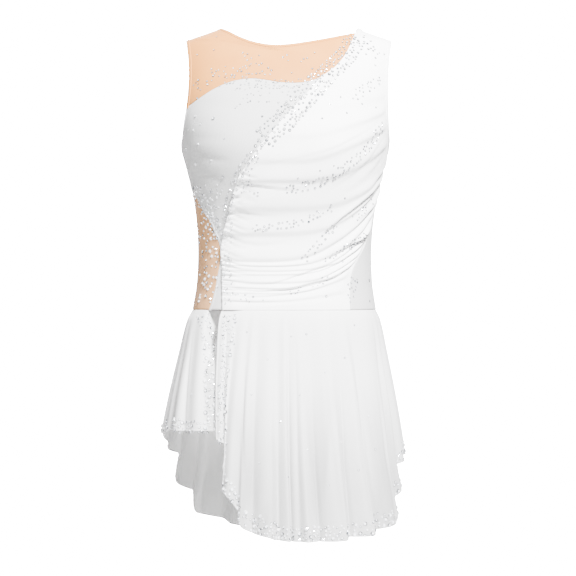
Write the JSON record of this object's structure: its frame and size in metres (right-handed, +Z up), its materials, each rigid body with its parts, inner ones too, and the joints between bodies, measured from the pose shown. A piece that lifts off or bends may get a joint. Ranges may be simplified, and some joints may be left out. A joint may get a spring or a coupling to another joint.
{
  "type": "figure skating dress",
  "caption": "Sleeveless asymmetric skating dress with a nude mesh yoke and waist inset, a ruched one-shoulder drape and a full folded skirt, longer at front and back than at the sides.",
  "frame": {"origin": "between the two shoulder seams at their middle height, where the wearer's shoulders carry the dress", "axes": "+Z up along the body, the front faces -Y, +X to the wearer's left"},
  "size_m": [0.3522, 0.3676, 0.752],
  "materials": {
    "nude_mesh": "fine matt stretch mesh",
    "white_stretch": "smooth stretch jersey with a soft sheen",
    "white_drape": "fine soft mesh, ruched",
    "white_chiffon": "thin soft mesh",
    "crystal": "faceted glass stones"
  },
  "bodies": {
    "root": {"front_yoke": "nude_mesh", "back_yoke": "nude_mesh", "waist_inset": "nude_mesh", "bust_panel": "white_stretch", "side_panel": "white_stretch", "back_bodice": "white_stretch", "drape_panel": "white_drape", "skirt_front": "white_chiffon", "skirt_side": "white_chiffon", "skirt_back": "white_chiffon"}
  },
  "joints": []
}
